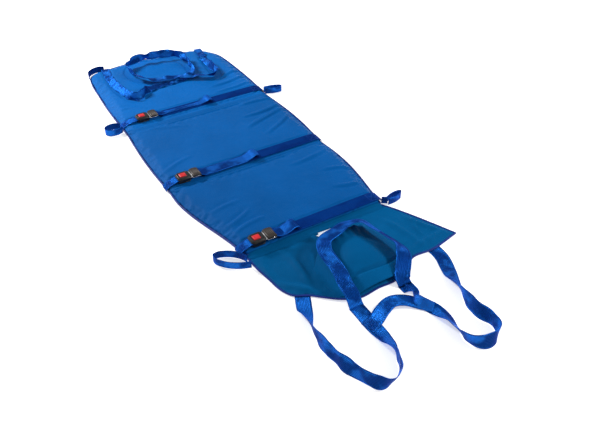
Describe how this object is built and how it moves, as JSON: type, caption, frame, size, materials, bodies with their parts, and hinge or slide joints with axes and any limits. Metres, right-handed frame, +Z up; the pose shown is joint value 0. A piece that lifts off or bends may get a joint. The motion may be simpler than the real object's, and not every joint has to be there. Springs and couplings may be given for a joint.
{
  "type": "evacuation mat",
  "caption": "Foldable padded evacuation mat with buckled patient straps, side carry loops, a head drag handle, a foot pocket and a foot harness.",
  "frame": {"origin": "underside of the mat, in the middle of the seam between torso and hips panels", "axes": "+Y towards the head end, +Z up off the floor, +X across the mat towards its right edge seen from the foot end"},
  "size_m": [0.7767, 2.0976, 0.0768],
  "materials": {
    "cover_fabric": "coated nylon, soft sheen",
    "binding_tape": "woven tape, matte",
    "base_fabric": "coated fabric, matte",
    "foam": "matte",
    "board": "matte",
    "webbing": "woven webbing, satin",
    "flat_webbing": "woven webbing, satin",
    "apron_fabric": "coated nylon, soft sheen",
    "casing": "satin black",
    "button": "glossy red",
    "tongue_steel": "polished",
    "spring_steel": "brushed",
    "adjuster_metal": "dark bronze, satin"
  },
  "bodies": {
    "torso": {"torso_cover": "cover_fabric", "torso_foam_pad": "foam", "torso_stiffener_board": "board", "torso_base_sheet": "base_fabric", "torso_edge_binding": "binding_tape", "torso_buckle_base": "casing", "torso_buckle_shell": "casing", "torso_button_spring": "spring_steel", "torso_strap_anchor": "webbing", "torso_strap_band": "flat_webbing"},
    "head": {"head_cover": "cover_fabric", "head_foam_pad": "foam", "head_stiffener_board": "board", "head_base_sheet": "base_fabric", "head_edge_binding": "binding_tape", "head_buckle_base": "casing", "head_buckle_shell": "casing", "head_button_spring": "spring_steel", "head_strap_anchor": "webbing", "head_strap_band": "flat_webbing", "head_corner_loop": "flat_webbing"},
    "hips": {"hips_cover": "cover_fabric", "hips_foam_pad": "foam", "hips_stiffener_board": "board", "hips_base_sheet": "base_fabric", "hips_edge_binding": "binding_tape", "hips_buckle_base": "casing", "hips_buckle_shell": "casing", "hips_button_spring": "spring_steel", "hips_strap_anchor": "webbing", "hips_strap_band": "flat_webbing"},
    "foot": {"foot_apron": "apron_fabric", "foot_apron_binding": "binding_tape", "foot_pocket": "apron_fabric", "harness_left_root": "webbing", "harness_right_root": "webbing", "harness_arch": "webbing"},
    "head_button": {"head_press_button": "button"},
    "head_latch": {"head_latch_plate": "spring_steel"},
    "head_tongue": {"head_tongue": "tongue_steel", "head_adjuster": "adjuster_metal", "head_strap_tail": "webbing"},
    "torso_button": {"torso_press_button": "button"},
    "torso_latch": {"torso_latch_plate": "spring_steel"},
    "torso_tongue": {"torso_tongue": "tongue_steel", "torso_adjuster": "adjuster_metal", "torso_strap_tail": "webbing"},
    "hips_button": {"hips_press_button": "button"},
    "hips_latch": {"hips_latch_plate": "spring_steel"},
    "hips_tongue": {"hips_tongue": "tongue_steel", "hips_adjuster": "adjuster_metal", "hips_strap_tail": "webbing"},
    "head_left_loop": {"head_left_loop": "webbing"},
    "head_right_loop": {"head_right_loop": "webbing"},
    "foot_left_loop": {"foot_left_loop": "webbing"},
    "foot_right_loop": {"foot_right_loop": "webbing"},
    "head_handle": {"head_drag_handle": "webbing"},
    "foot_harness": {"harness_left_loop": "webbing", "harness_right_loop": "webbing", "harness_cross_strap": "webbing"}
  },
  "joints": [
    {"name": "head_fold", "type": "hinge", "parent": "torso", "child": "head", "pos_m": [0, 0.434, -0.0003], "axis": [-1, 0, 0], "range_deg": [0, 180]},
    {"name": "hips_fold", "type": "hinge", "parent": "torso", "child": "hips", "pos_m": [0, 0, 0.033], "axis": [-1, 0, 0], "range_deg": [0, 175]},
    {"name": "foot_fold", "type": "hinge", "parent": "hips", "child": "foot", "pos_m": [0, -0.423, -0.0003], "axis": [1, 0, 0], "range_deg": [0, 180]},
    {"name": "head_button_press", "type": "slide", "parent": "head", "child": "head_button", "axis": [0, 0, -1], "range_m": [0, 0.0035], "stiffness_N_per_m": 400, "deforming": ["head_button_spring"]},
    {"name": "head_latch_turn", "type": "hinge", "parent": "head", "child": "head_latch", "pos_m": [-0.238, 0.495, 0.0265], "axis": [0, 1, 0], "range_deg": [0, 3.7]},
    {"name": "head_tongue_slide", "type": "slide", "parent": "head", "child": "head_tongue", "axis": [1, 0, 0], "range_m": [0, 0.03]},
    {"name": "torso_button_press", "type": "slide", "parent": "torso", "child": "torso_button", "axis": [0, 0, -1], "range_m": [0, 0.0035], "stiffness_N_per_m": 400, "deforming": ["torso_button_spring"]},
    {"name": "torso_latch_turn", "type": "hinge", "parent": "torso", "child": "torso_latch", "pos_m": [-0.258, 0.031, 0.0265], "axis": [0, 1, 0], "range_deg": [0, 3.7]},
    {"name": "torso_tongue_slide", "type": "slide", "parent": "torso", "child": "torso_tongue", "axis": [1, 0, 0], "range_m": [0, 0.03]},
    {"name": "hips_button_press", "type": "slide", "parent": "hips", "child": "hips_button", "axis": [0, 0, -1], "range_m": [0, 0.0035], "stiffness_N_per_m": 400, "deforming": ["hips_button_spring"]},
    {"name": "hips_latch_turn", "type": "hinge", "parent": "hips", "child": "hips_latch", "pos_m": [-0.192, -0.392, 0.0265], "axis": [0, 1, 0], "range_deg": [0, 3.7]},
    {"name": "hips_tongue_slide", "type": "slide", "parent": "hips", "child": "hips_tongue", "axis": [1, 0, 0], "range_m": [0, 0.03]},
    {"name": "head_left_loop_lift", "type": "hinge", "parent": "head", "child": "head_left_loop", "pos_m": [-0.311, 0.484, 0.018], "axis": [0, 1, 0], "range_deg": [0, 90]},
    {"name": "head_right_loop_lift", "type": "hinge", "parent": "head", "child": "head_right_loop", "pos_m": [0.3205, 0.468, 0.018], "axis": [0, -1, 0], "range_deg": [0, 90]},
    {"name": "foot_left_loop_lift", "type": "hinge", "parent": "foot", "child": "foot_left_loop", "pos_m": [-0.232, -0.456, 0.018], "axis": [0, 1, 0], "range_deg": [0, 90]},
    {"name": "foot_right_loop_lift", "type": "hinge", "parent": "foot", "child": "foot_right_loop", "pos_m": [0.304, -0.43, 0.018], "axis": [0, -1, 0], "range_deg": [0, 90]},
    {"name": "handle_lift", "type": "hinge", "parent": "head", "child": "head_handle", "pos_m": [0, 0.974, 0.0203], "axis": [-1, 0, 0], "range_deg": [0, 100]},
    {"name": "harness_lift", "type": "hinge", "parent": "foot", "child": "foot_harness", "pos_m": [0, -0.775, 0.001], "axis": [-1, 0, 0], "range_deg": [0, 90]}
  ],
  "couplings": [
    {"joint": "head_latch_turn", "follows": "head_button_press", "rad_per_m": 18},
    {"joint": "torso_latch_turn", "follows": "torso_button_press", "rad_per_m": 18},
    {"joint": "hips_latch_turn", "follows": "hips_button_press", "rad_per_m": 18}
  ]
}
